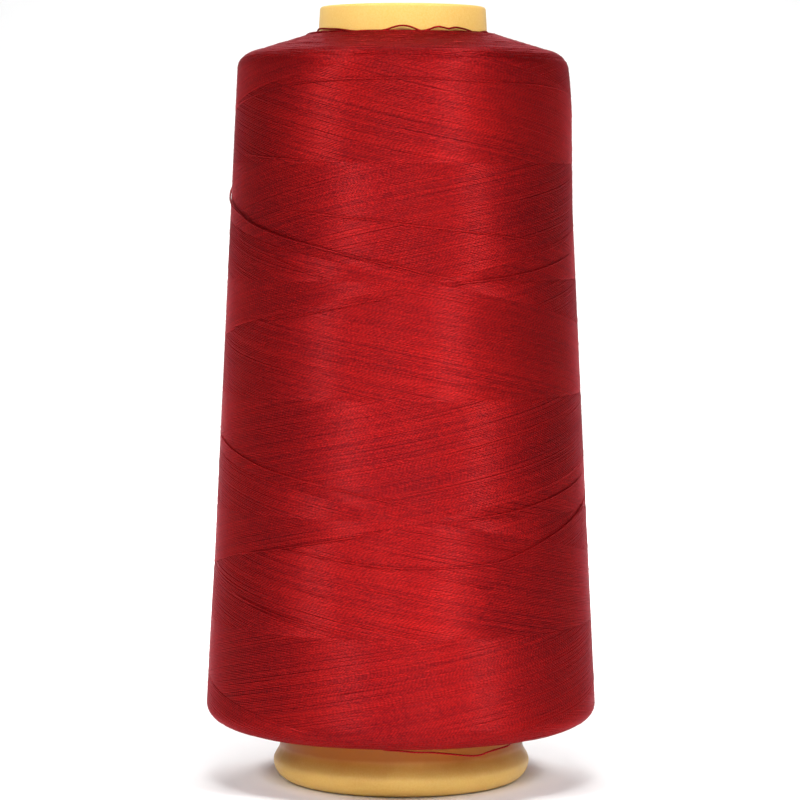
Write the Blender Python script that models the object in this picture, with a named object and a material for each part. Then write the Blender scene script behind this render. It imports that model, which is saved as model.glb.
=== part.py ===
"""Tall cone of sewing thread: one thread cross-wound on a hollow moulded core. Metres, +Z up.

The origin is the centre of the flat ring that the core's foot stands on. The front is -Y.
Angles around the axis are in degrees from the front, positive towards +X.
"""

import math

import bpy
from mathutils import Vector

MM = 0.001

# Core: a tapered tube with a round lip at the top and a flared foot with a rounded bead.
CORE_HEIGHT = 170.0 * MM
CORE_TOP_RADIUS = 18.15 * MM
CORE_TAPER = 0.0539  # growth of the radius for each metre down
BORE_TOP_RADIUS = 16.15 * MM
BORE_FOOT_RADIUS = 23.5 * MM
LIP_ROUND = 0.7 * MM
FLARE_TOP = 7.0 * MM
FLARE_POWER = 3.4
BEAD_RADIUS = 28.3 * MM
BEAD_HALF_WIDTH = 4.2 * MM
BEAD_HALF_HEIGHT = 4.25 * MM

# Thread package: a crest round the neck, a sloping shoulder, a straight tapered side and an
# undercut lower edge.
GAP = 0.3 * MM
PACKAGE_NECK_HEIGHT = 163.5 * MM
CREST_RADIUS = 20.6 * MM
CREST_HEIGHT = 163.75 * MM
SHOULDER_SLOPE = 0.305
SHOULDER_RADIUS = 36.0 * MM
SHOULDER_HEIGHT = 156.4 * MM
SHOULDER_ROUND = 4.6 * MM
SHOULDER_CORNER = 3.1 * MM
SKIRT_RADIUS = 42.6 * MM
SKIRT_HEIGHT = 17.2 * MM
UNDERCUT_RADIUS = 36.4 * MM
UNDERCUT_HEIGHT = 12.5 * MM
PACKAGE_BASE_HEIGHT = 11.8 * MM

# Thread, and how far the middle of a loose strand lies from the package or the core.
THREAD_DIAMETER = 0.36 * MM
STRAND_LIFT = GAP + THREAD_DIAMETER / 2
POINT_SPACING = 2.5 * THREAD_DIAMETER
MOST_POINTS = 80

TURN_STEPS = 96
ROUND_POINTS = 6

# A loose strand around the neck: angle, and height in mm over the place where it lies on the shoulder.
NECK_ROUTE = (
    (-82, 0.00), (-78, 0.45), (-74, 0.90), (-69, 0.98), (-62, 0.88), (-55, 0.74), (-48, 0.64),
    (-42, 0.42), (-35, 0.12), (-28, 0.00), (-20, 0.00), (-15, 0.05), (-12, 0.20), (-9, 0.48),
    (-6, 0.80), (-2, 1.10), (2, 1.08), (5, 0.87), (8, 0.50), (11, 0.12), (14, 0.12), (18, 0.47),
    (21, 0.83), (24, 0.98), (27, 0.86), (31, 0.62), (34, 0.80), (37, 0.93), (42, 0.76), (47, 0.50),
    (52, 0.15), (57, 0.00), (62, 0.18), (68, 0.42), (73, 0.40), (79, 0.00),
)

# A loose strand that sags under the package: angle, radius in mm and height in mm.
FOOT_ROUTE = (
    (-7, 32.8, 11.75), (-4, 34.0, 11.80), (-1, 35.2, 11.90), (2, 36.1, 11.88), (5, 36.7, 11.82),
    (9, 36.9, 11.78), (12, 37.0, 11.63), (16, 37.2, 11.33), (19, 37.3, 11.05), (22, 37.4, 10.82),
    (25, 37.5, 10.68), (27, 37.5, 10.82), (29, 37.5, 11.18), (32, 37.4, 11.54), (35, 37.2, 11.76),
    (38, 36.8, 11.93), (41, 35.4, 11.93), (44, 33.6, 11.80),
)

# A strand that lies across the side a little proud of it: angle, and height in mm.
SIDE_ROUTE = (
    (-116, 134.6), (-108, 133.3), (-101, 131.9), (-95, 130.5), (-89, 129.0), (-82, 127.6),
    (-76, 126.5), (-70, 125.4), (-65, 124.5), (-59, 123.1), (-50, 121.5), (-41, 120.0),
    (-30, 118.4), (-20, 116.9), (-10, 115.4), (-2, 114.2),
)


def clear_scene():
    for old in list(bpy.data.objects):
        bpy.data.objects.remove(old, do_unlink=True)


def plain_material(name, colour, roughness):
    material = bpy.data.materials.new(name)
    material.use_nodes = True
    shader = material.node_tree.nodes["Principled BSDF"]
    shader.inputs["Base Color"].default_value = (*colour, 1.0)
    shader.inputs["Roughness"].default_value = roughness
    shader.inputs["Metallic"].default_value = 0.0
    return material


def core_outer(height):
    """The outer radius of the core's straight taper at a height."""
    return CORE_TOP_RADIUS + CORE_TAPER * (CORE_HEIGHT - height)


def package_side(height):
    """The radius of the package's straight side at a height."""
    run = (SHOULDER_HEIGHT - height) / (SHOULDER_HEIGHT - SKIRT_HEIGHT)
    return SHOULDER_RADIUS + (SKIRT_RADIUS - SHOULDER_RADIUS) * run


def quarter_round(centre, half_width, half_height, start, end):
    """Points (radius, height) on an elliptic arc between two angles in degrees."""
    points = []
    for i in range(ROUND_POINTS + 1):
        angle = math.radians(start + (end - start) * i / ROUND_POINTS)
        radius = centre[0] + half_width * math.cos(angle)
        height = centre[1] + half_height * math.sin(angle)
        points.append((radius, height))
    return points


def soft_corner(start, corner, end):
    """Points (radius, height) on a curve from start to end that is drawn towards the corner."""
    points = []
    for i in range(ROUND_POINTS + 1):
        t = i / ROUND_POINTS
        weights = ((1 - t) ** 2, 2 * t * (1 - t), t * t)
        radius = sum(w * p[0] for w, p in zip(weights, (start, corner, end)))
        height = sum(w * p[1] for w, p in zip(weights, (start, corner, end)))
        points.append((radius, height))
    return points


def turned(name, outline, material):
    """A solid turned from a closed outline (radius, height) that runs down its outer side."""
    mesh = bpy.data.meshes.new(name)
    count = len(outline)
    edges = [(i, (i + 1) % count) for i in range(count)]
    mesh.from_pydata([(radius, 0.0, height) for radius, height in outline], edges, [])
    piece = bpy.data.objects.new(name, mesh)
    bpy.context.collection.objects.link(piece)
    screw = piece.modifiers.new("turn", "SCREW")
    screw.axis = "Z"
    screw.angle = math.tau
    screw.steps = TURN_STEPS
    screw.render_steps = TURN_STEPS
    screw.use_merge_vertices = True
    screw.merge_threshold = 0.00001
    screw.use_smooth_shade = True
    mesh.materials.append(material)
    return piece


def make_core(material):
    lip_height = CORE_HEIGHT - LIP_ROUND
    lip_outer = quarter_round((CORE_TOP_RADIUS - LIP_ROUND, lip_height), LIP_ROUND, LIP_ROUND, 90, 0)
    flare = []
    for i in range(ROUND_POINTS):
        t = i / ROUND_POINTS
        start = core_outer(FLARE_TOP)
        radius = start + (BEAD_RADIUS - start) * t**FLARE_POWER
        flare.append((radius, FLARE_TOP + (BEAD_HALF_HEIGHT - FLARE_TOP) * t))
    bead_centre = (BEAD_RADIUS - BEAD_HALF_WIDTH, BEAD_HALF_HEIGHT)
    bead = quarter_round(bead_centre, BEAD_HALF_WIDTH, BEAD_HALF_HEIGHT, 0, -90)
    bore = [(BORE_FOOT_RADIUS, 0.0), (BORE_TOP_RADIUS, lip_height)]
    lip_centre = (BORE_TOP_RADIUS + LIP_ROUND, lip_height)
    lip_inner = quarter_round(lip_centre, LIP_ROUND, LIP_ROUND, 180, 90)[1:]
    return turned("cone_core", lip_outer + flare + bead + bore + lip_inner, material)


def make_winding(material):
    shoulder_end = SHOULDER_RADIUS - SHOULDER_ROUND
    shoulder_drop = SHOULDER_SLOPE * (shoulder_end - CREST_RADIUS)
    shoulder = soft_corner(
        (shoulder_end, CREST_HEIGHT - shoulder_drop),
        (SHOULDER_RADIUS - 0.1 * MM, SHOULDER_HEIGHT + SHOULDER_CORNER),
        (SHOULDER_RADIUS, SHOULDER_HEIGHT),
    )
    skirt = soft_corner(
        (SKIRT_RADIUS, SKIRT_HEIGHT),
        (SKIRT_RADIUS + 0.1 * MM, UNDERCUT_HEIGHT + 1.4 * MM),
        (UNDERCUT_RADIUS, UNDERCUT_HEIGHT),
    )
    neck = [(core_outer(PACKAGE_NECK_HEIGHT) + GAP, PACKAGE_NECK_HEIGHT), (CREST_RADIUS, CREST_HEIGHT)]
    base = [(core_outer(PACKAGE_BASE_HEIGHT) + GAP, PACKAGE_BASE_HEIGHT)]
    return turned("thread_winding", neck + shoulder + skirt + base, material)


def around(angle, radius, height):
    """A point at an angle in degrees from the front, a radius and a height."""
    turn = math.radians(angle)
    return Vector((radius * math.sin(turn), -radius * math.cos(turn), height))


def neck_points():
    radius = core_outer(PACKAGE_NECK_HEIGHT) + STRAND_LIFT
    height = PACKAGE_NECK_HEIGHT + STRAND_LIFT
    return [around(angle, radius, height + rise * MM) for angle, rise in NECK_ROUTE]


def foot_points():
    return [around(angle, radius * MM, height * MM) for angle, radius, height in FOOT_ROUTE]


def side_points():
    return [around(a, package_side(h * MM) + STRAND_LIFT, h * MM) for a, h in SIDE_ROUTE]


def smooth_path(route):
    """Points on a Catmull-Rom curve through the route's points, about POINT_SPACING apart."""
    length = sum((b - a).length for a, b in zip(route, route[1:]))
    count = min(MOST_POINTS, round(length / POINT_SPACING))
    ends = [route[0] * 2 - route[1], *route, route[-1] * 2 - route[-2]]
    spans = len(route) - 1
    path = []
    for i in range(count):
        place = spans * i / (count - 1)
        span = min(int(place), spans - 1)
        t = place - span
        a, b, c, d = ends[span : span + 4]
        bend = a * 2 - b * 5 + c * 4 - d
        twist = b * 3 - a - c * 3 + d
        path.append((b * 2 + (c - a) * t + bend * t * t + twist * t**3) / 2)
    return path


def make_strand(name, route, material):
    """A loose stretch of the thread: a thin tube with closed ends along the route."""
    curve = bpy.data.curves.new(name, "CURVE")
    curve.dimensions = "3D"
    curve.bevel_depth = THREAD_DIAMETER / 2
    curve.bevel_resolution = 2
    curve.use_fill_caps = True
    path = smooth_path(route)
    spline = curve.splines.new("POLY")
    spline.points.add(len(path) - 1)
    for point, place in zip(spline.points, path):
        point.co = (*place, 1.0)
    curve.materials.append(material)
    piece = bpy.data.objects.new(name, curve)
    bpy.context.collection.objects.link(piece)
    return piece


def main():
    clear_scene()
    make_core(plain_material("core_plastic", (0.86, 0.56, 0.16), 0.4))
    thread = plain_material("thread", (0.45, 0.01, 0.02), 0.6)
    make_winding(thread)
    make_strand("neck_strand", neck_points(), thread)
    make_strand("foot_strand", foot_points(), thread)
    make_strand("side_strand", side_points(), thread)


main()
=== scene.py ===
"""The looks of a tall cone of sewing thread: a turned plastic core under thousands of thread pieces.

Lengths are in metres unless a comment says mm. The front is -Y. Angles around
the axis are in degrees from the front, positive towards +X. The package's surface is measured by
its station: the height of a place on the straight side, carried on as the length along the surface
over the shoulder towards the neck, and round the lower edge towards the core.
"""

import math

import bpy
import numpy as np
from mathutils import Euler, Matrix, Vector


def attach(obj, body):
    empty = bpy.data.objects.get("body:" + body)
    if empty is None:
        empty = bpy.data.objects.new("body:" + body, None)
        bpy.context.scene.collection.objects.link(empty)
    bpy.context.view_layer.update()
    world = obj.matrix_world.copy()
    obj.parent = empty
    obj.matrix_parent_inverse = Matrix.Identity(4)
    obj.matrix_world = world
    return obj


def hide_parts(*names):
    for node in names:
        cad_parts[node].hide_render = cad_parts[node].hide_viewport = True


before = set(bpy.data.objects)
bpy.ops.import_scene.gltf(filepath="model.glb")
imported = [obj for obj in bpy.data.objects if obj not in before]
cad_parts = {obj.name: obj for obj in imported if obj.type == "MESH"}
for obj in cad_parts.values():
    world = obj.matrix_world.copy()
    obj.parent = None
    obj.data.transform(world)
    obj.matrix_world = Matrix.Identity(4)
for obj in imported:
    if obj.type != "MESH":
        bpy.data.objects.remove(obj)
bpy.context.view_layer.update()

MM = 0.001
rng = np.random.default_rng(20)

# The core, as the CAD has it.
CORE_HEIGHT = 170.0 * MM
CORE_TOP_RADIUS = 18.15 * MM
CORE_TAPER = 0.0539
BORE_TOP_RADIUS = 16.15 * MM
BORE_FOOT_RADIUS = 23.5 * MM
LIP_ROUND = 0.7 * MM
FLARE_START = 7.7 * MM  # where the foot starts to flare, a little softer than in the CAD
BEAD_RADIUS = 28.3 * MM
BEAD_HALF_WIDTH = 4.2 * MM
BEAD_HALF_HEIGHT = 4.25 * MM

# The thread package, as the CAD has it.
GAP = 0.3 * MM
NECK_HEIGHT = 163.5 * MM
CREST_RADIUS = 20.6 * MM
CREST_HEIGHT = 163.75 * MM
SHOULDER_SLOPE = 0.305
SHOULDER_RADIUS = 36.0 * MM
SHOULDER_HEIGHT = 156.4 * MM
SHOULDER_ROUND = 4.6 * MM
SHOULDER_CORNER = 3.1 * MM
SKIRT_RADIUS = 42.6 * MM
SKIRT_HEIGHT = 17.2 * MM
UNDERCUT_RADIUS = 36.4 * MM
UNDERCUT_HEIGHT = 12.5 * MM
BASE_HEIGHT = 11.8 * MM

# The thread and its winding.
THREAD_DIAMETER = 0.36 * MM
STRAND_LIFT = GAP + THREAD_DIAMETER / 2  # how far off the middle of a loose strand lies
TUBE_RADIUS = 0.25 * MM  # wider than the thread, so that neighbouring lays close up
TUBE_SIDES = 6
LOOSE_RADIUS = 0.2 * MM  # loose thread stands open a little
LAY_PITCH = 49.9 * MM  # how far a lay climbs in one turn
LAYS = 144  # lays side by side in each direction
BAND_HEIGHT = LAY_PITCH / 2  # the height of one row of diamonds
BAND_START = 11.1 * MM  # where the lowest row starts
BAND_COUNT = 6
CROSSING_ANGLE = 8.0  # degrees, where the newest lays of the two directions cross on the front
SAMPLE_STEP = 0.5  # degrees between the samples that a lay is worked out on
LAY_STEP = 4.0  # degrees between the points of a lay that is drawn
SHORTEST_RUN = 8.0  # degrees; a stretch shorter than this, tucked ends and all, isn't drawn
TOP_TURN = 159.6 * MM  # the station where the lays turn back at the shoulder
BOTTOM_TURN = 13.4 * MM  # and at the lower edge
MIDDLE_STATION = 90.0 * MM  # lays bend over at the shoulder above it, and at the lower edge below it
TURN_SOFTNESS = 2.6 * MM  # how softly they bend over
BED_LIFT = 0.02 * MM  # how far the bed under the lays is above the CAD surface
LAY_LIFT = -0.02 * MM  # the middle of a lay is just under that surface
LAY_SHIFT = 0.04  # how far a lay strays from its place, as a share of the spacing
LAY_WAVER = 0.15  # how far it wavers, as a share of the spacing
WAVER_ANGLE = 25  # degrees from one waver to the next
PROUD_SPREAD = 0.005  # mm, how unevenly high the lays lie
PROUD_SHARE = 0.025  # the share of the lays that stand proud
PROUD_STEP = 0.05 * MM
TUCK_ANGLE = 7.0  # degrees that a lay goes on under its neighbours
TUCK_PLACES = (-TUCK_ANGLE, -4.0, 1.5)  # degrees inside the place where it comes on top
TUCK_DEPTHS = (-0.55, -0.24, 0.0)  # mm at those places
PLY_TURN = 1.6 * MM  # length of one full twist of the plies
TURN_ROW_STEP = 0.29 * MM  # between the rows of turns on the shoulder and the underside
TURN_ROW_SUNK = 2.4 * MM  # the first rows come up from under the side's lays over this length
TURN_REACH = 26.0  # degrees from the middle of a turn to its ends
TURN_BEND = 1.8 * MM  # how far the ends of a turn run back towards the side
TURN_SPACING = 20  # degrees from one turn of a row to the next
TURN_TUCK = 0.30 * MM  # how deep the ends of a turn go under
TURN_SUNK_DEPTH = 0.25 * MM  # how deep the very first row lies
NECK_EDGE = 1.4 * MM  # the width of the uneven edge round the neck
NECK_EDGE_RISE = 0.45  # mm, the most that a turn stands up there
SWAY = 0.35 * MM  # how far the lays of one direction shift together
PLY_SLIP = 0.30 * MM  # how unevenly the twists of neighbouring lays line up

# Colours of the materials, each from its darker to its brighter places.
THREAD_DEEP = (0.108, 0.0005, 0.0035, 1.0)
THREAD_BRIGHT = (0.41, 0.0075, 0.006, 1.0)
LOOSE_DEEP = (0.26, 0.001, 0.006, 1.0)
LOOSE_BRIGHT = (0.38, 0.002, 0.010, 1.0)
BED_DEEP = (0.17, 0.002, 0.004, 1.0)
BED_BRIGHT = (0.24, 0.004, 0.006, 1.0)
PLASTIC_DEEP = (0.77, 0.47, 0.11, 1.0)
PLASTIC_BRIGHT = (0.86, 0.56, 0.15, 1.0)
PLASTIC_SPECK = (0.95, 0.72, 0.30, 1.0)
# PLASTIC_SHADE is painted shade, multiplied into the waist between the bead and the package.
PLASTIC_SHADE = (0.42, 0.18, 0.02, 1.0)
PLASTIC_WORN = (0.88, 0.70, 0.38, 1.0)
FLOOR_PALE = (0.92, 0.92, 0.92, 1.0)
FLOOR_SHADE = (0.8, 0.8, 0.8, 1.0)

# Routes of the loose strands, as the CAD has them. Neck: angle and rise in mm over where it lies on
# the shoulder. Foot: angle, radius and height in mm. Side: angle and height in mm.
NECK_ROUTE = (
    (-82, 0.00), (-78, 0.45), (-74, 0.90), (-69, 0.98), (-62, 0.88), (-55, 0.74), (-48, 0.64),
    (-42, 0.42), (-35, 0.12), (-28, 0.00), (-20, 0.00), (-15, 0.05), (-12, 0.20), (-9, 0.48),
    (-6, 0.80), (-2, 1.10), (2, 1.08), (5, 0.87), (8, 0.50), (11, 0.12), (14, 0.12), (18, 0.47),
    (21, 0.83), (24, 0.98), (27, 0.86), (31, 0.62), (34, 0.80), (37, 0.93), (42, 0.76), (47, 0.50),
    (52, 0.15), (57, 0.00), (62, 0.18), (68, 0.42), (73, 0.40), (79, 0.00),
)
FOOT_ROUTE = (
    (-7, 32.8, 11.75), (-4, 34.0, 11.80), (-1, 35.2, 11.90), (2, 36.1, 11.88), (5, 36.7, 11.82),
    (9, 36.9, 11.78), (12, 37.0, 11.63), (16, 37.2, 11.33), (19, 37.3, 11.05), (22, 37.4, 10.82),
    (25, 37.5, 10.68), (27, 37.5, 10.82), (29, 37.5, 11.18), (32, 37.4, 11.54), (35, 37.2, 11.76),
    (38, 36.8, 11.93), (41, 35.4, 11.93), (44, 33.6, 11.80),
)
SIDE_ROUTE = (
    (-116, 134.6), (-108, 133.3), (-101, 131.9), (-95, 130.5), (-89, 129.0), (-82, 127.6),
    (-76, 126.5), (-70, 125.4), (-65, 124.5), (-59, 123.1), (-50, 121.5), (-41, 120.0),
    (-30, 118.4), (-20, 116.9), (-10, 115.4), (-2, 114.2),
)

# Stray lays that lie on top of the others: angle and station in mm. Each comes up from under the
# others over its first points and goes under again over its last.
STRAY_PLACES = (0.0, 0.5, 1.2)  # points of the route from an end
STRAY_LIFTS = (-0.30, 0.06, 0.25)  # mm at those places
STRAY_LAYS = (
    ((-92, 146.4), (-78, 148.1), (-63, 149.8), (-48, 151.4), (-37, 152.5), (-26, 153.0),
     (-11, 153.4), (6, 153.4), (25, 152.9), (40, 152.6), (52, 152.4), (68, 151.6), (84, 150.0)),
    ((-48, 126.3), (-34, 125.4), (-20, 124.5), (-10, 123.9), (1, 123.0), (14, 122.0), (27, 121.0),
     (40, 120.0), (54, 118.8)),
    ((-54, 116.8), (-43, 115.1), (-35, 113.4), (-27, 111.8), (-18, 110.4)),
    ((-58, 53.9), (-38, 54.1), (-24, 53.0), (-6, 51.5), (8, 51.2), (24, 51.5), (32, 52.2),
     (43, 54.6), (60, 58.4), (78, 62.4), (96, 66.6)),
    ((-66, 44.1), (-54, 42.5), (-38, 40.1), (-25, 38.2), (-11, 36.2), (3, 34.6)),
    ((-60, 42.4), (-48, 40.9), (-34, 38.6), (-20, 36.9)),
    ((8, 49.5), (17, 48.1), (26, 46.6), (36, 45.6)),
    ((12, 110.2), (20, 110.7), (36, 111.9), (52, 113.6), (66, 115.4), (80, 117.2)),
    ((12, 60.8), (22, 61.3), (37, 62.6), (52, 64.6), (70, 67.2), (88, 69.8)),
    ((-78, 138.4), (-54, 137.2), (-32, 136.3), (-12, 135.6)),
    ((-96, 78.4), (-78, 76.0), (-60, 73.2), (-43, 70.5), (-18, 67.2), (-1, 64.7), (12, 62.4)),
    ((-70, 51.4), (-50, 52.9), (-32, 55.2), (-14, 57.6), (4, 59.9)),
    ((-56, 100.9), (-42, 102.6), (-24, 105.0), (-4, 107.8), (10, 108.6)),
    ((-8, 115.6), (-3, 114.6), (4, 113.3), (14, 111.8), (24, 110.3)),
    ((140, 98.0), (160, 95.6), (180, 93.1), (205, 89.4), (230, 85.8)),
    ((120, 40.0), (150, 43.9), (180, 48.6), (210, 52.0), (240, 55.3)),
    ((130, 146.0), (160, 149.6), (185, 151.2), (215, 150.8), (240, 149.2)),
    ((100, 128.8), (125, 125.6), (150, 121.9), (175, 118.6), (200, 114.8)),
)


# ---------------------------------------------------------------- outlines


def around(angle, radius, height):
    """A point at an angle in degrees from the front, a radius and a height."""
    turn = math.radians(angle)
    return (radius * math.sin(turn), -radius * math.cos(turn), height)


def core_outer(height):
    """The outer radius of the core's straight taper at a height."""
    return CORE_TOP_RADIUS + CORE_TAPER * (CORE_HEIGHT - height)


def package_side(height):
    """The radius of the package's straight side at a height."""
    run = (SHOULDER_HEIGHT - height) / (SHOULDER_HEIGHT - SKIRT_HEIGHT)
    return SHOULDER_RADIUS + (SKIRT_RADIUS - SHOULDER_RADIUS) * run


def quarter_round(centre, half_width, half_height, start, end, steps):
    """Points (radius, height) on an elliptic arc between two angles in degrees."""
    turn = np.radians(np.linspace(start, end, steps + 1))
    return [(centre[0] + half_width * math.cos(a), centre[1] + half_height * math.sin(a)) for a in turn]


def soft_corner(start, corner, end, steps=14):
    """Points (radius, height) on a curve from start to end that is drawn towards the corner."""
    points = []
    for t in np.linspace(0, 1, steps + 1):
        weights = ((1 - t) ** 2, 2 * t * (1 - t), t * t)
        points.append(tuple(sum(w * p[k] for w, p in zip(weights, (start, corner, end))) for k in (0, 1)))
    return points


def package_outline():
    """The package's outline from the neck, over the side, to the place where its base meets the core."""
    neck = [(core_outer(NECK_HEIGHT) + GAP, NECK_HEIGHT), (CREST_RADIUS, CREST_HEIGHT)]
    shoulder_end = SHOULDER_RADIUS - SHOULDER_ROUND
    shoulder = soft_corner(
        (shoulder_end, CREST_HEIGHT - SHOULDER_SLOPE * (shoulder_end - CREST_RADIUS)),
        (SHOULDER_RADIUS - 0.1 * MM, SHOULDER_HEIGHT + SHOULDER_CORNER),
        (SHOULDER_RADIUS, SHOULDER_HEIGHT),
    )
    skirt = soft_corner(
        (SKIRT_RADIUS, SKIRT_HEIGHT),
        (SKIRT_RADIUS + 0.1 * MM, UNDERCUT_HEIGHT + 1.4 * MM),
        (UNDERCUT_RADIUS, UNDERCUT_HEIGHT),
    )
    base = (core_outer(BASE_HEIGHT) + GAP, BASE_HEIGHT)
    return [*neck, *shoulder, *skirt, base]


def station_table():
    """Stations, radii, heights and outward normals along the package's outline, from base to neck."""
    outline = np.array(package_outline())[::-1]
    lengths = np.r_[0, np.cumsum(np.hypot(*np.diff(outline, axis=0).T))]
    even = np.arange(0, lengths[-1], 0.25 * MM)
    radius, height = np.interp(even, lengths, outline[:, 0]), np.interp(even, lengths, outline[:, 1])
    slope_r, slope_h = np.gradient(radius), np.gradient(height)
    size = np.hypot(slope_r, slope_h)
    side_top = np.interp(SHOULDER_HEIGHT, height, even)
    return even - side_top + SHOULDER_HEIGHT, radius, height, slope_h / size, -slope_r / size


STATION, RADIUS_AT, HEIGHT_AT, NORMAL_R, NORMAL_Z = station_table()
NECK_STATION = STATION[-1]
BASE_STATION = STATION[0]


# How far the package bulges on its +X side and on its -X side: heights and bulges in mm.
RIGHT_BULGE = (
    (0, 0.1), (20, 0.1), (45, 0.0), (80, -0.18), (125, -0.30),
    (135, 0.0), (148, 0.45), (154, 0.3), (158, 0.0),
)
LEFT_BULGE = ((0, 0.25), (17, 0.32), (32, 0.28), (50, 0.05), (158, 0.0))


def bulge(angles, stations):
    """How far the package departs from a perfect cone, as a hand-guided winding does."""
    side = np.sin(np.radians(angles))
    total = 0.0
    shares = (np.maximum(side, 0) ** 2, np.maximum(-side, 0) ** 2)
    for table, share in zip((RIGHT_BULGE, LEFT_BULGE), shares):
        heights, amounts = np.array(table).T
        total = total + share * np.interp(stations / MM, heights, amounts) * MM
    return total


def place(angles, stations, lift):
    """Points and outward normals on the package at angles in degrees, at stations, lifted off the surface."""
    turn = np.radians(angles)
    lift = lift + bulge(angles, stations)
    out_r, out_z = np.interp(stations, STATION, NORMAL_R), np.interp(stations, STATION, NORMAL_Z)
    radius = np.interp(stations, STATION, RADIUS_AT) + lift * out_r
    height = np.interp(stations, STATION, HEIGHT_AT) + lift * out_z
    across, front = np.sin(turn), -np.cos(turn)
    points = np.stack([radius * across, radius * front, height], 1)
    return points, np.stack([out_r * across, out_r * front, out_z], 1)


# ---------------------------------------------------------------- mesh building


def finish_piece(name, mesh, material, node=None):
    """Links a mesh as a piece that rides on the part's only body."""
    mesh.materials.append(material)
    piece = bpy.data.objects.new(name, mesh)
    bpy.context.scene.collection.objects.link(piece)
    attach(piece, "root")
    if node:
        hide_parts(node)
    return piece


def ring_mesh(name, sections):
    """A ring-shaped body from its closed sections around the axis, each running down its outer side."""
    steps, count, _ = sections.shape
    a = np.arange(steps)[:, None] * count + np.arange(count)[None, :]
    b = np.roll(a, -1, axis=0)
    faces = np.stack([a, np.roll(a, -1, axis=1), np.roll(b, -1, axis=1), b], 2).reshape(-1, 4)
    mesh = bpy.data.meshes.new(name)
    mesh.from_pydata(sections.reshape(-1, 3).tolist(), [], faces.tolist())
    mesh.shade_smooth()
    return mesh


class Tubes:
    """Thread tubes collected into one mesh, with where each point is along and around its thread."""

    def __init__(self, sides=TUBE_SIDES):
        self.angles = (np.arange(sides) + 0.5) / sides * math.tau - math.pi
        self.sides = sides
        self.parts = []

    def add(self, points, normals, radius=TUBE_RADIUS, tone=0.5, begin=0.0):
        """A closed tube along points, whose seam is on the side away from the normals."""
        tangent = np.gradient(points, axis=0)
        tangent /= np.linalg.norm(tangent, axis=1)[:, None]
        side = np.cross(tangent, normals)
        side /= np.linalg.norm(side, axis=1)[:, None]
        up = np.cross(side, tangent)
        upward = np.cos(self.angles)[None, :, None] * up[:, None]
        sideways = np.sin(self.angles)[None, :, None] * side[:, None]
        verts = points[:, None] + radius * (upward + sideways)
        along = np.r_[0, np.cumsum(np.linalg.norm(np.diff(points, axis=0), axis=1))]
        self.parts.append((verts.reshape(-1, 3), along + begin, len(points), tone))

    def mesh(self, name):
        n = self.sides
        base = 0
        verts, loops, sizes, along, turn_share, tone = [], [], [], [], [], []
        for part_verts, part_along, count, part_tone in self.parts:
            a = base + np.arange(count - 1)[:, None] * n + np.arange(n)[None, :]
            b = base + np.arange(count - 1)[:, None] * n + np.roll(np.arange(n), -1)[None, :]
            loops.append(np.stack([a, b, b + n, a + n], 2).reshape(-1))
            last = base + (count - 1) * n
            loops.append(np.r_[np.arange(n)[::-1] + base, np.arange(n) + last])
            sizes.append(np.r_[np.full((count - 1) * n, 4), n, n])
            verts.append(part_verts)
            along.append(np.repeat(part_along, n))
            turn_share.append(np.tile(np.arange(n) / n, count))
            tone.append(np.full(count * n, part_tone))
            base += count * n
        sizes = np.concatenate(sizes)
        loops = np.concatenate(loops)
        mesh = bpy.data.meshes.new(name)
        mesh.vertices.add(base)
        mesh.vertices.foreach_set("co", np.concatenate(verts).astype(np.float32).ravel())
        mesh.loops.add(len(loops))
        mesh.loops.foreach_set("vertex_index", loops.astype(np.int32))
        mesh.polygons.add(len(sizes))
        mesh.polygons.foreach_set("loop_start", np.r_[0, np.cumsum(sizes)[:-1]].astype(np.int32))
        mesh.update(calc_edges=True)
        mesh.validate()
        for label, values in (("along", along), ("around", turn_share), ("tone", tone)):
            layer = mesh.attributes.new(label, "FLOAT", "POINT")
            layer.data.foreach_set("value", np.concatenate(values).astype(np.float32))
        mesh.shade_smooth()
        return mesh


# ---------------------------------------------------------------- materials


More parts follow.
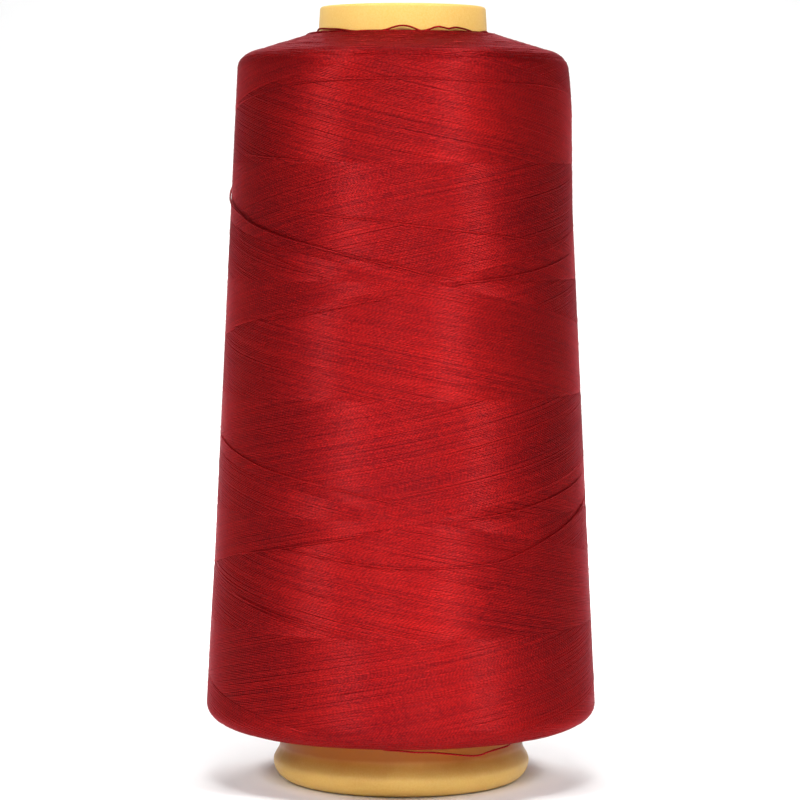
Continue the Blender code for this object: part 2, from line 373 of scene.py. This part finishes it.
class Nodes:
    """Short ways to add and link shader nodes in one material."""

    def __init__(self, name):
        self.material = bpy.data.materials.new(name)
        self.material.use_nodes = True
        self.tree = self.material.node_tree
        self.shader = self.tree.nodes["Principled BSDF"]

    def add(self, kind, **settings):
        node = self.tree.nodes.new(kind)
        for key, value in settings.items():
            setattr(node, key, value)
        return node

    def link(self, source, target):
        self.tree.links.new(source, target)

    def feed(self, socket, value):
        """Sets a socket from a number, a colour or another node's output."""
        if isinstance(value, bpy.types.NodeSocket):
            self.link(value, socket)
        else:
            socket.default_value = value

    def maths(self, operation, first, second=0.0):
        node = self.add("ShaderNodeMath", operation=operation)
        for socket, value in zip(node.inputs, (first, second)):
            self.feed(socket, value)
        return node.outputs[0]

    def attribute(self, name):
        return self.add("ShaderNodeAttribute", attribute_name=name).outputs["Fac"]

    def vector(self, x, y, z):
        node = self.add("ShaderNodeCombineXYZ")
        for socket, value in zip(node.inputs, (x, y, z)):
            self.feed(socket, value)
        return node.outputs[0]

    def noise(self, vector, scale, detail=2.0, roughness=0.5):
        node = self.add("ShaderNodeTexNoise")
        self.link(vector, node.inputs["Vector"])
        node.inputs["Scale"].default_value = scale
        node.inputs["Detail"].default_value = detail
        node.inputs["Roughness"].default_value = roughness
        return node.outputs["Fac"]

    def spread(self, value, low, high, new_low, new_high):
        node = self.add("ShaderNodeMapRange", clamp=True)
        for socket, number in zip(node.inputs, (value, low, high, new_low, new_high)):
            self.feed(socket, number)
        return node.outputs[0]

    def mix(self, share, first, second, blend="MIX"):
        node = self.add("ShaderNodeMix", data_type="RGBA", blend_type=blend)
        self.feed(node.inputs["Factor"], share)
        self.feed(node.inputs[6], first)
        self.feed(node.inputs[7], second)
        return node.outputs[2]

    def bump(self, height, strength, distance, normal=None):
        node = self.add("ShaderNodeBump")
        node.inputs["Strength"].default_value = strength
        node.inputs["Distance"].default_value = distance
        self.link(height, node.inputs["Height"])
        if normal is not None:
            self.link(normal, node.inputs["Normal"])
        return node.outputs[0]

    def place(self):
        return self.add("ShaderNodeTexCoord").outputs["Object"]


def thread_material(name, deep, bright):
    """Dyed spun thread: two plies twisted round each other, fine fibres, and a soft sheen. The creases
    between the plies have painted shade and their crowns a painted highlight.
    """
    n = Nodes(name)
    along, around, tone = n.attribute("along"), n.attribute("around"), n.attribute("tone")
    turns = n.maths("ADD", n.maths("MULTIPLY", along, 1 / PLY_TURN), around)
    crown = n.maths("ABSOLUTE", n.maths("SINE", n.maths("MULTIPLY", turns, math.tau)))
    fibre_place = n.vector(n.maths("MULTIPLY", along, 1200.0), n.maths("MULTIPLY", turns, 6.0), tone)
    fibres = n.noise(fibre_place, 1.0, 3.0, 0.6)
    lumps = n.noise(n.vector(n.maths("MULTIPLY", along, 1400.0), n.maths("MULTIPLY", tone, 40.0), 0.0), 1.0)
    dye = n.noise(n.place(), 38.0, 2.0)
    shade = n.maths("ADD", n.maths("MULTIPLY", tone, 0.12), n.maths("MULTIPLY", dye, 0.30))
    shade = n.maths("ADD", shade, n.maths("MULTIPLY", lumps, 0.60))
    colour = n.mix(n.spread(shade, 0.25, 0.8, 0.0, 1.0), deep, bright)
    # Painted shade and highlight: the colour is darkened in the creases between the twisted plies and
    # lightened on their crowns.
    painted_ply_shade = n.spread(n.maths("MULTIPLY", crown, n.spread(fibres, 0.2, 0.8, 0.7, 1.2)), 0.0, 1.0, 0.60, 1.20)
    painted_ply_shade_colour = n.add("ShaderNodeCombineColor")
    for socket in painted_ply_shade_colour.inputs[:3]:
        n.link(painted_ply_shade, socket)
    colour = n.mix(1.0, colour, painted_ply_shade_colour.outputs[0], "MULTIPLY")
    n.link(colour, n.shader.inputs["Base Color"])
    n.link(n.spread(fibres, 0.2, 0.8, 0.39, 0.53), n.shader.inputs["Roughness"])
    height = n.maths("ADD", n.maths("MULTIPLY", crown, 0.7), n.maths("MULTIPLY", fibres, 0.3))
    n.link(n.bump(height, 0.35, 0.00006), n.shader.inputs["Normal"])
    give_sheen(n)
    return n.material


def give_sheen(n):
    """The lustre of tightly twisted filaments, which throw the light back in the colour of the dye."""
    n.shader.inputs["Metallic"].default_value = 0.95
    n.shader.inputs["Specular IOR Level"].default_value = 0.5
    n.shader.inputs["Specular Tint"].default_value = (1.0, 0.35, 0.42, 1.0)
    n.shader.inputs["Coat Weight"].default_value = 0.09
    n.shader.inputs["Coat Roughness"].default_value = 0.3
    n.shader.inputs["Sheen Weight"].default_value = 0.015
    n.shader.inputs["Sheen Roughness"].default_value = 0.4
    n.shader.inputs["Sheen Tint"].default_value = (1.0, 0.42, 0.55, 1.0)


def bed_material():
    """The thread under the outer lays: the same dye in shadow, with crossing lays as fine grooves."""
    n = Nodes("thread_bed")
    split = n.add("ShaderNodeSeparateXYZ")
    n.link(n.place(), split.inputs[0])
    forward = n.maths("MULTIPLY", split.outputs["Y"], -1.0)
    turn = n.maths("ARCTAN2", split.outputs["X"], forward)
    climb = n.maths("MULTIPLY", turn, LAY_PITCH / math.tau)
    grooves = []
    for sense in (1.0, -1.0):
        run = n.maths("ADD", split.outputs["Z"], n.maths("MULTIPLY", climb, sense))
        wave = n.maths("SINE", n.maths("MULTIPLY", run, math.tau * LAYS / LAY_PITCH))
        grooves.append(n.maths("ABSOLUTE", wave))
    height = n.maths("MAXIMUM", *grooves)
    patches = n.noise(n.place(), 60.0, 3.0)
    colour = n.mix(n.spread(patches, 0.3, 0.7, 0.0, 1.0), BED_DEEP, BED_BRIGHT)
    n.link(colour, n.shader.inputs["Base Color"])
    n.link(n.spread(height, 0.0, 1.0, 0.7, 0.5), n.shader.inputs["Roughness"])
    n.link(n.bump(height, 0.5, 0.00008), n.shader.inputs["Normal"])
    give_sheen(n)
    return n.material


def plastic_material():
    """Moulded yellow polypropylene: satin and faintly cloudy, with fine grain and rub marks low down.

    The waist between the bead and the package has painted shade: its colour is made deeper, over and above
    its real shadow.
    """
    n = Nodes("moulded_plastic")
    spot = n.place()
    split = n.add("ShaderNodeSeparateXYZ")
    n.link(spot, split.inputs[0])
    cloud = n.noise(spot, 45.0, 3.0)
    grain = n.noise(spot, 2600.0, 2.0, 0.6)
    drawn_out = n.maths("MULTIPLY", split.outputs["Z"], 0.12)
    flow = n.noise(n.vector(split.outputs["X"], split.outputs["Y"], drawn_out), 420.0, 2.0)
    colour = n.mix(n.spread(cloud, 0.3, 0.7, 0.0, 1.0), PLASTIC_DEEP, PLASTIC_BRIGHT)
    colour = n.mix(n.spread(grain, 0.35, 0.65, 0.0, 0.22), colour, PLASTIC_SPECK)
    # Painted shade: above the bead, under the package and outside the bore, the colour is made deeper.
    high = n.maths("SUBTRACT", split.outputs["Z"], n.maths("MULTIPLY", n.noise(spot, 120.0, 2.0), 0.0016))
    over_bead = n.spread(high, 0.0030, 0.0074, 0.0, 1.0)
    under_package = n.spread(high, 0.013, 0.016, 1.0, 0.0)
    across, back = split.outputs["X"], split.outputs["Y"]
    squares = n.maths("ADD", n.maths("MULTIPLY", across, across), n.maths("MULTIPLY", back, back))
    outside = n.spread(n.maths("SQRT", squares), 0.0245, 0.0255, 0.0, 1.0)
    waist_painted_shade = n.maths("MULTIPLY", n.maths("MULTIPLY", over_bead, under_package), outside)
    shaded = n.mix(1.0, colour, PLASTIC_SHADE, "MULTIPLY")
    colour = n.mix(waist_painted_shade, colour, shaded)
    rub = n.spread(n.noise(spot, 900.0, 4.0, 0.7), 0.62, 0.74, 0.0, 0.22)
    low = n.spread(split.outputs["Z"], 0.0, 0.004, 1.0, 0.0)
    colour = n.mix(n.maths("MULTIPLY", rub, low), colour, PLASTIC_WORN)
    n.link(colour, n.shader.inputs["Base Color"])
    rough = n.maths("ADD", n.spread(flow, 0.3, 0.7, 0.34, 0.44), n.maths("MULTIPLY", rub, 0.4))
    n.link(rough, n.shader.inputs["Roughness"])
    fine = n.bump(grain, 0.12, 0.00004)
    n.link(n.bump(flow, 0.10, 0.0001, fine), n.shader.inputs["Normal"])
    n.shader.inputs["Specular IOR Level"].default_value = 0.2
    n.shader.inputs["Subsurface Weight"].default_value = 0.15
    n.shader.inputs["Subsurface Radius"].default_value = (1.0, 0.55, 0.12)
    n.shader.inputs["Subsurface Scale"].default_value = 1.2 * MM
    return n.material


# ---------------------------------------------------------------- the core


def make_core(material):
    lip_height = CORE_HEIGHT - LIP_ROUND
    outline = quarter_round((CORE_TOP_RADIUS - LIP_ROUND, lip_height), LIP_ROUND, LIP_ROUND, 90, 0, 8)
    for height in np.linspace(lip_height, FLARE_START, 30)[1:-1]:
        outline.append((core_outer(height), height))
    start = core_outer(FLARE_START)
    for t in np.linspace(0, 1, 20)[:-1]:
        height = FLARE_START + (BEAD_HALF_HEIGHT - FLARE_START) * t
        outline.append((start + (BEAD_RADIUS - start) * t * t * (3 - 2 * t), height))
    bead_centre = (BEAD_RADIUS - BEAD_HALF_WIDTH, BEAD_HALF_HEIGHT)
    outline += quarter_round(bead_centre, BEAD_HALF_WIDTH, BEAD_HALF_HEIGHT, 0, -90, 20)
    for height in np.linspace(0, lip_height, 30):
        outline.append((np.interp(height, [0, lip_height], [BORE_FOOT_RADIUS, BORE_TOP_RADIUS]), height))
    lip_centre = (BORE_TOP_RADIUS + LIP_ROUND, lip_height)
    outline += quarter_round(lip_centre, LIP_ROUND, LIP_ROUND, 180, 90, 8)[1:]
    turns = np.linspace(0, 360, 240, endpoint=False)
    sections = [[around(angle, *point) for point in outline] for angle in turns]
    mesh = ring_mesh("core_moulding", np.array(sections))
    mesh.set_sharp_from_angle(angle=math.radians(40))
    piece = finish_piece("core_moulding", mesh, material, "cone_core")


# ---------------------------------------------------------------- the winding


def make_bed(material):
    """The closed body of thread under the outer lays."""
    stations = np.r_[np.arange(BASE_STATION, NECK_STATION, 0.8 * MM), NECK_STATION][::-1]
    inner_heights = np.linspace(BASE_HEIGHT, NECK_HEIGHT, 12)
    rings = []
    for angle in np.linspace(0, 360, 180, endpoint=False):
        outer, _ = place(np.full(len(stations), angle), stations, BED_LIFT)
        inner = [around(angle, core_outer(z) + 0.02 * MM, z) for z in inner_heights]
        rings.append(np.concatenate([outer, inner]))
    mesh = ring_mesh("thread_bed", np.array(rings))
    piece = finish_piece("thread_bed", mesh, material, "thread_winding")


def smooth_noise(count, knots):
    """A smooth random curve of count values between -1 and 1, with about so many knots."""
    coarse = rng.uniform(-1, 1, max(4, knots + 2))
    at = np.linspace(0, len(coarse) - 1, count)
    low = np.clip(at.astype(int), 0, len(coarse) - 2)
    t = at - low
    t = t * t * (3 - 2 * t)
    return coarse[low] * (1 - t) + coarse[low + 1] * t


def wrap(angles):
    """Angles in degrees brought between -180 and 180."""
    return (angles + 180.0) % 360.0 - 180.0


def turned_back(stations):
    """Stations bent over softly where the lays turn back at the package's two ends."""
    high = TOP_TURN + TURN_SOFTNESS
    low = BOTTOM_TURN - TURN_SOFTNESS
    bent = high - np.sqrt((stations - high) ** 2 + TURN_SOFTNESS**2)
    return np.where(stations > MIDDLE_STATION, bent, low + np.sqrt((stations - low) ** 2 + TURN_SOFTNESS**2))


def on_top(angles, stations, rising):
    """How many degrees of travel a lay still has on top of the others: negative where it is under them."""
    band = np.floor((stations - BAND_START) / BAND_HEIGHT)
    share = (stations - BAND_START) / BAND_HEIGHT - band
    apex = np.where(band % 2 == 0, CROSSING_ANGLE, CROSSING_ANGLE + 180.0)
    away = np.abs(wrap(angles - apex))
    if rising:
        return np.minimum(180.0 * share - away, 180.0 * (1 - share))
    return np.minimum(away - 180.0 * share, 180.0 * share)


def runs_of(flags):
    """First and last index of each run of true flags."""
    edges = np.flatnonzero(np.diff(np.r_[0, flags.astype(int), 0]))
    return list(zip(edges[::2], edges[1::2] - 1))


def sway(angles, stations, rising):
    """A slow shift of all the lays of one direction, which keeps neighbours side by side."""
    sense = 1.0 if rising else -1.0
    turn = np.radians(angles)
    slow = np.sin(2 * turn + sense * stations / (17 * MM))
    slow = slow + 0.6 * np.sin(3 * turn - stations / (11 * MM) + sense)
    return SWAY * slow


def add_lays(batches, rising):
    """All the lays of one direction, each drawn where it is on top, in the batch of its band."""
    sense = 1.0 if rising else -1.0
    spacing = LAY_PITCH / LAYS
    for lay in range(LAYS):
        start = lay * spacing
        first_climb = BOTTOM_TURN - start % LAY_PITCH - LAY_PITCH
        climb = np.arange(first_climb, TOP_TURN, LAY_PITCH * SAMPLE_STEP / 360.0)
        climb = climb[climb > BOTTOM_TURN - TURN_SOFTNESS]
        angles = sense * (climb - start) / LAY_PITCH * 360.0
        stations = turned_back(climb) + sway(angles, climb, rising)
        stations = stations + rng.normal(0, LAY_SHIFT) * spacing
        wavers = int(len(climb) * SAMPLE_STEP / WAVER_ANGLE)
        stations = stations + smooth_noise(len(climb), wavers) * LAY_WAVER * spacing
        tone = rng.uniform(0, 1)
        proud = rng.normal(0, PROUD_SPREAD) * MM + (PROUD_STEP if rng.uniform() < PROUD_SHARE else 0.0)
        top = on_top(angles, stations, rising) > 0
        for first, last in runs_of(top):
            add_run(batches, angles, stations, first, last, proud, tone)


def twist_start(angles):
    """A start for the twist of a lay, so that the twists of neighbours nearly line up."""
    sense = math.copysign(1.0, angles[-1] - angles[0])
    return sense * math.radians(wrap(angles[0])) * SKIRT_RADIUS + rng.normal(0, PLY_SLIP)


def add_run(batches, angles, stations, first, last, proud, tone):
    """One stretch of a lay that is on top, with its two ends tucked under its neighbours."""
    extra = int(TUCK_ANGLE / SAMPLE_STEP)
    low, high = max(first - extra, 0), min(last + extra, len(angles) - 1)
    if high - low < SHORTEST_RUN / SAMPLE_STEP:
        return
    picks = np.unique(np.r_[np.arange(low, high, int(LAY_STEP / SAMPLE_STEP)), high])
    inside = np.minimum(picks - first, last - picks) * SAMPLE_STEP
    lift = np.interp(inside, TUCK_PLACES, TUCK_DEPTHS) * MM + LAY_LIFT + proud
    lift = lift + smooth_noise(len(picks), len(picks) // 4) * 0.02 * MM
    middle = stations[(first + last) // 2]
    band = int(np.clip((middle - BAND_START) // BAND_HEIGHT, 0, BAND_COUNT - 1))
    points, normals = place(angles[picks], stations[picks], lift)
    batches[band].add(points, normals, tone=tone, begin=twist_start(angles[picks]))


def make_lays(material):
    batches = [Tubes() for _ in range(BAND_COUNT)]
    add_lays(batches, True)
    add_lays(batches, False)
    for i, batch in enumerate(batches):
        name = f"thread_lays_{i + 1}"
        finish_piece(name, batch.mesh(name), material)


def make_end_face(name, start, end, material):
    """The turning points of all the inner lays, which form the shoulder or the underside."""
    batch = Tubes()
    sense = 1.0 if end > start else -1.0
    offset = np.linspace(-TURN_REACH, TURN_REACH, 13)
    bend = (offset / TURN_REACH) ** 2
    first_row = start - sense * TURN_ROW_SUNK
    for row in np.arange(first_row, end, sense * TURN_ROW_STEP):
        sunk = max(0.0, 1.0 - abs(row - first_row) / TURN_ROW_SUNK) * TURN_SUNK_DEPTH
        for middle in np.arange(0, 360, TURN_SPACING) + rng.uniform(0, TURN_SPACING):
            middle += rng.uniform(-6, 6)
            stations = row - sense * bend * TURN_BEND + rng.normal(0, 0.10) * MM
            stations = np.clip(stations, BASE_STATION, NECK_STATION)
            edge = rng.uniform(0, NECK_EDGE_RISE) * MM if abs(row - NECK_STATION) < NECK_EDGE else 0.0
            lift = LAY_LIFT + rng.normal(0, 0.03) * MM + edge * (1 - bend) - TURN_TUCK * bend**2 - sunk
            tone = rng.uniform(0, 1)
            points, normals = place(middle + offset, stations, lift)
            batch.add(points, normals, tone=tone, begin=twist_start(middle + offset))
    finish_piece(name, batch.mesh(name), material)


def smooth_route(route, per_span=6):
    """Points on a Catmull-Rom curve through the route's points."""
    route = [np.array(p, float) for p in route]
    ends = [route[0] * 2 - route[1], *route, route[-1] * 2 - route[-2]]
    path = []
    for span in range(len(route) - 1):
        a, b, c, d = ends[span : span + 4]
        for t in np.linspace(0, 1, per_span, endpoint=False):
            bend = a * 2 - b * 5 + c * 4 - d
            twist = b * 3 - a - c * 3 + d
            path.append((b * 2 + (c - a) * t + bend * t * t + twist * t**3) / 2)
    return np.array([*path, route[-1]])


def make_stray_lays(material):
    """Single lays that lie across the others, a little proud of them, with ends that tuck in."""
    batch = Tubes(8)
    for route in STRAY_LAYS:
        path = smooth_route(route, 5)
        stations = path[:, 1] * MM
        ends = np.minimum(np.arange(len(path)), np.arange(len(path))[::-1]) / 5.0
        lift = np.interp(ends, STRAY_PLACES, STRAY_LIFTS) * MM
        points, normals = place(path[:, 0], stations, lift)
        batch.add(points, normals, THREAD_DIAMETER / 2, rng.uniform(0.3, 1.0), twist_start(path[:, 0]))
    finish_piece("stray_lays", batch.mesh("stray_lays"), material)


# ---------------------------------------------------------------- the loose strands


def make_strand(name, route, material):
    """A loose stretch of the thread that leaves the package and goes back into it."""
    path = smooth_route(route)
    flat = path * np.array([1.0, 1.0, 0.0])
    normals = flat / np.linalg.norm(flat, axis=1)[:, None]
    batch = Tubes(10)
    batch.add(path, normals, LOOSE_RADIUS, 0.35)
    piece = finish_piece(f"loose_{name}", batch.mesh(name), material, name)


def make_loose_strands(thread, loose_thread):
    neck_radius = core_outer(NECK_HEIGHT) + STRAND_LIFT
    neck = [around(a, neck_radius, NECK_HEIGHT + STRAND_LIFT + rise * MM) for a, rise in NECK_ROUTE]
    foot = [around(a, r * MM, h * MM) for a, r, h in FOOT_ROUTE]
    side = [around(a, package_side(h * MM) + STRAND_LIFT, h * MM) for a, h in SIDE_ROUTE]
    make_strand("neck_strand", neck, loose_thread)
    make_strand("foot_strand", foot, loose_thread)
    make_strand("side_strand", side, thread)


# ---------------------------------------------------------------- camera, floor and light


CAMERA_DISTANCE = 716.0 * MM
CAMERA_HEIGHT = 131.9 * MM
CAMERA_TILT = 3.84  # degrees down
CAMERA_ROLL = 0.126  # degrees
CAMERA_SIDE = -0.44 * MM
CAMERA_LENS = 146.4


def make_camera():
    data = bpy.data.cameras.new("camera")
    data.lens = CAMERA_LENS
    data.sensor_width = 36.0
    data.clip_end = 20.0
    camera = bpy.data.objects.new("camera", data)
    bpy.context.scene.collection.objects.link(camera)
    camera.location = (CAMERA_SIDE, -CAMERA_DISTANCE, CAMERA_HEIGHT)
    aim = Euler((math.radians(90 - CAMERA_TILT), 0, 0)).to_matrix()
    roll = Euler((0, 0, math.radians(CAMERA_ROLL))).to_matrix()
    camera.rotation_euler = (aim @ roll).to_euler()
    bpy.context.scene.camera = camera


def make_floor():
    """A pale floor that is level round the object, with a wide, soft rise far out on every side."""
    n = Nodes("pale_floor")
    tint = n.noise(n.place(), 3.0, 2.0)
    colour = n.mix(n.spread(tint, 0.3, 0.7, 0.0, 0.03), FLOOR_PALE, FLOOR_SHADE)
    n.link(colour, n.shader.inputs["Base Color"])
    n.shader.inputs["Roughness"].default_value = 0.8
    radii = [0.02, 0.3, 1.0, 1.6, 1.9, 2.15, 2.3, 2.36, 2.4]
    rises = [0.0, 0.0, 0.0, 0.0, 0.05, 0.18, 0.42, 0.9, 2.4]
    steps = 96
    verts, faces = [(0.0, 0.0, 0.0)], []
    for radius, rise in zip(radii, rises):
        for i in range(steps):
            turn = math.tau * i / steps
            verts.append((radius * math.cos(turn), radius * math.sin(turn), rise))
    for i in range(steps):
        faces.append((0, 1 + i, 1 + (i + 1) % steps))
    for ring in range(len(radii) - 1):
        for i in range(steps):
            a, b = 1 + ring * steps + i, 1 + ring * steps + (i + 1) % steps
            faces.append((a, a + steps, b + steps, b))
    mesh = bpy.data.meshes.new("floor")
    mesh.from_pydata(verts, [], faces)
    mesh.shade_smooth()
    mesh.materials.append(n.material)
    floor = bpy.data.objects.new("floor", mesh)
    bpy.context.scene.collection.objects.link(floor)


def soft_light(name, azimuth, elevation, distance, size, power):
    """A square soft box that faces the middle of the object."""
    data = bpy.data.lights.new(name, "AREA")
    data.size = size
    data.energy = power
    lamp = bpy.data.objects.new(name, data)
    bpy.context.scene.collection.objects.link(lamp)
    middle = Vector((0, 0, CORE_HEIGHT / 2))
    level = distance * math.cos(math.radians(elevation))
    lamp.location = middle + Vector(around(azimuth, level, distance * math.sin(math.radians(elevation))))
    lamp.rotation_euler = (middle - lamp.location).to_track_quat("-Z", "Y").to_euler()


def background_light(name, start, target, size, power, spread):
    """A lamp for the floor or the rise behind it, whose spread leaves out nearly all of the object."""
    data = bpy.data.lights.new(name, "AREA")
    data.size = size
    data.energy = power
    data.spread = math.radians(spread)
    lamp = bpy.data.objects.new(name, data)
    bpy.context.scene.collection.objects.link(lamp)
    lamp.location = start
    lamp.rotation_euler = (Vector(target) - lamp.location).to_track_quat("-Z", "Y").to_euler()


# Soft boxes round the object: name, azimuth and elevation in degrees, distance and size in m, and
# power in W.
SOFT_BOXES = (
    ("front_box", 0, 13, 1.4, 0.5, 1.8),
    ("left_box", -49, 40, 1.3, 0.30, 10.6),
    ("right_box", 46, 40, 1.3, 0.30, 11.2),
    ("hair_light", 180, 32, 0.6, 0.3, 0.4),
    ("top_box", 0, 68, 1.3, 0.4, 4.4),
)

# Lamps for the floor and its rise behind the object: name, place, target, size in m, power in W and
# spread in degrees.
FLOOR_LAMPS = (
    ("wall_lamp", (0.0, 1.0, 1.2), (0.0, 1.8, 0.0), 0.5, 4.6, 80),
    ("floor_lamp", (0.0, 0.5, 0.5), (0.0, 0.6, 0.0), 0.4, 4.0, 136),
    ("front_floor_lamp", (0.0, -0.30, 0.5), (0.0, -0.22, 0.0), 0.1, 0.55, 40),
)


def make_light():
    world = bpy.data.worlds.new("studio")
    bpy.context.scene.world = world
    world.use_nodes = True
    world.node_tree.nodes["Background"].inputs["Color"].default_value = (1.0, 1.0, 1.0, 1.0)
    world.node_tree.nodes["Background"].inputs["Strength"].default_value = 0.01
    for light in SOFT_BOXES:
        soft_light(*light)
    for light in FLOOR_LAMPS:
        background_light(*light)
    bpy.context.scene.view_settings.view_transform = "Standard"


def main():
    make_camera()
    thread = thread_material("twisted_thread", THREAD_DEEP, THREAD_BRIGHT)
    make_loose_strands(thread, thread_material("loose_thread", LOOSE_DEEP, LOOSE_BRIGHT))
    make_core(plastic_material())
    make_bed(bed_material())
    make_lays(thread)
    make_end_face("shoulder_turns", TOP_TURN, NECK_STATION, thread)
    make_end_face("underside_turns", BOTTOM_TURN, BASE_STATION, thread)
    make_stray_lays(thread)
    make_floor()
    make_light()


main()
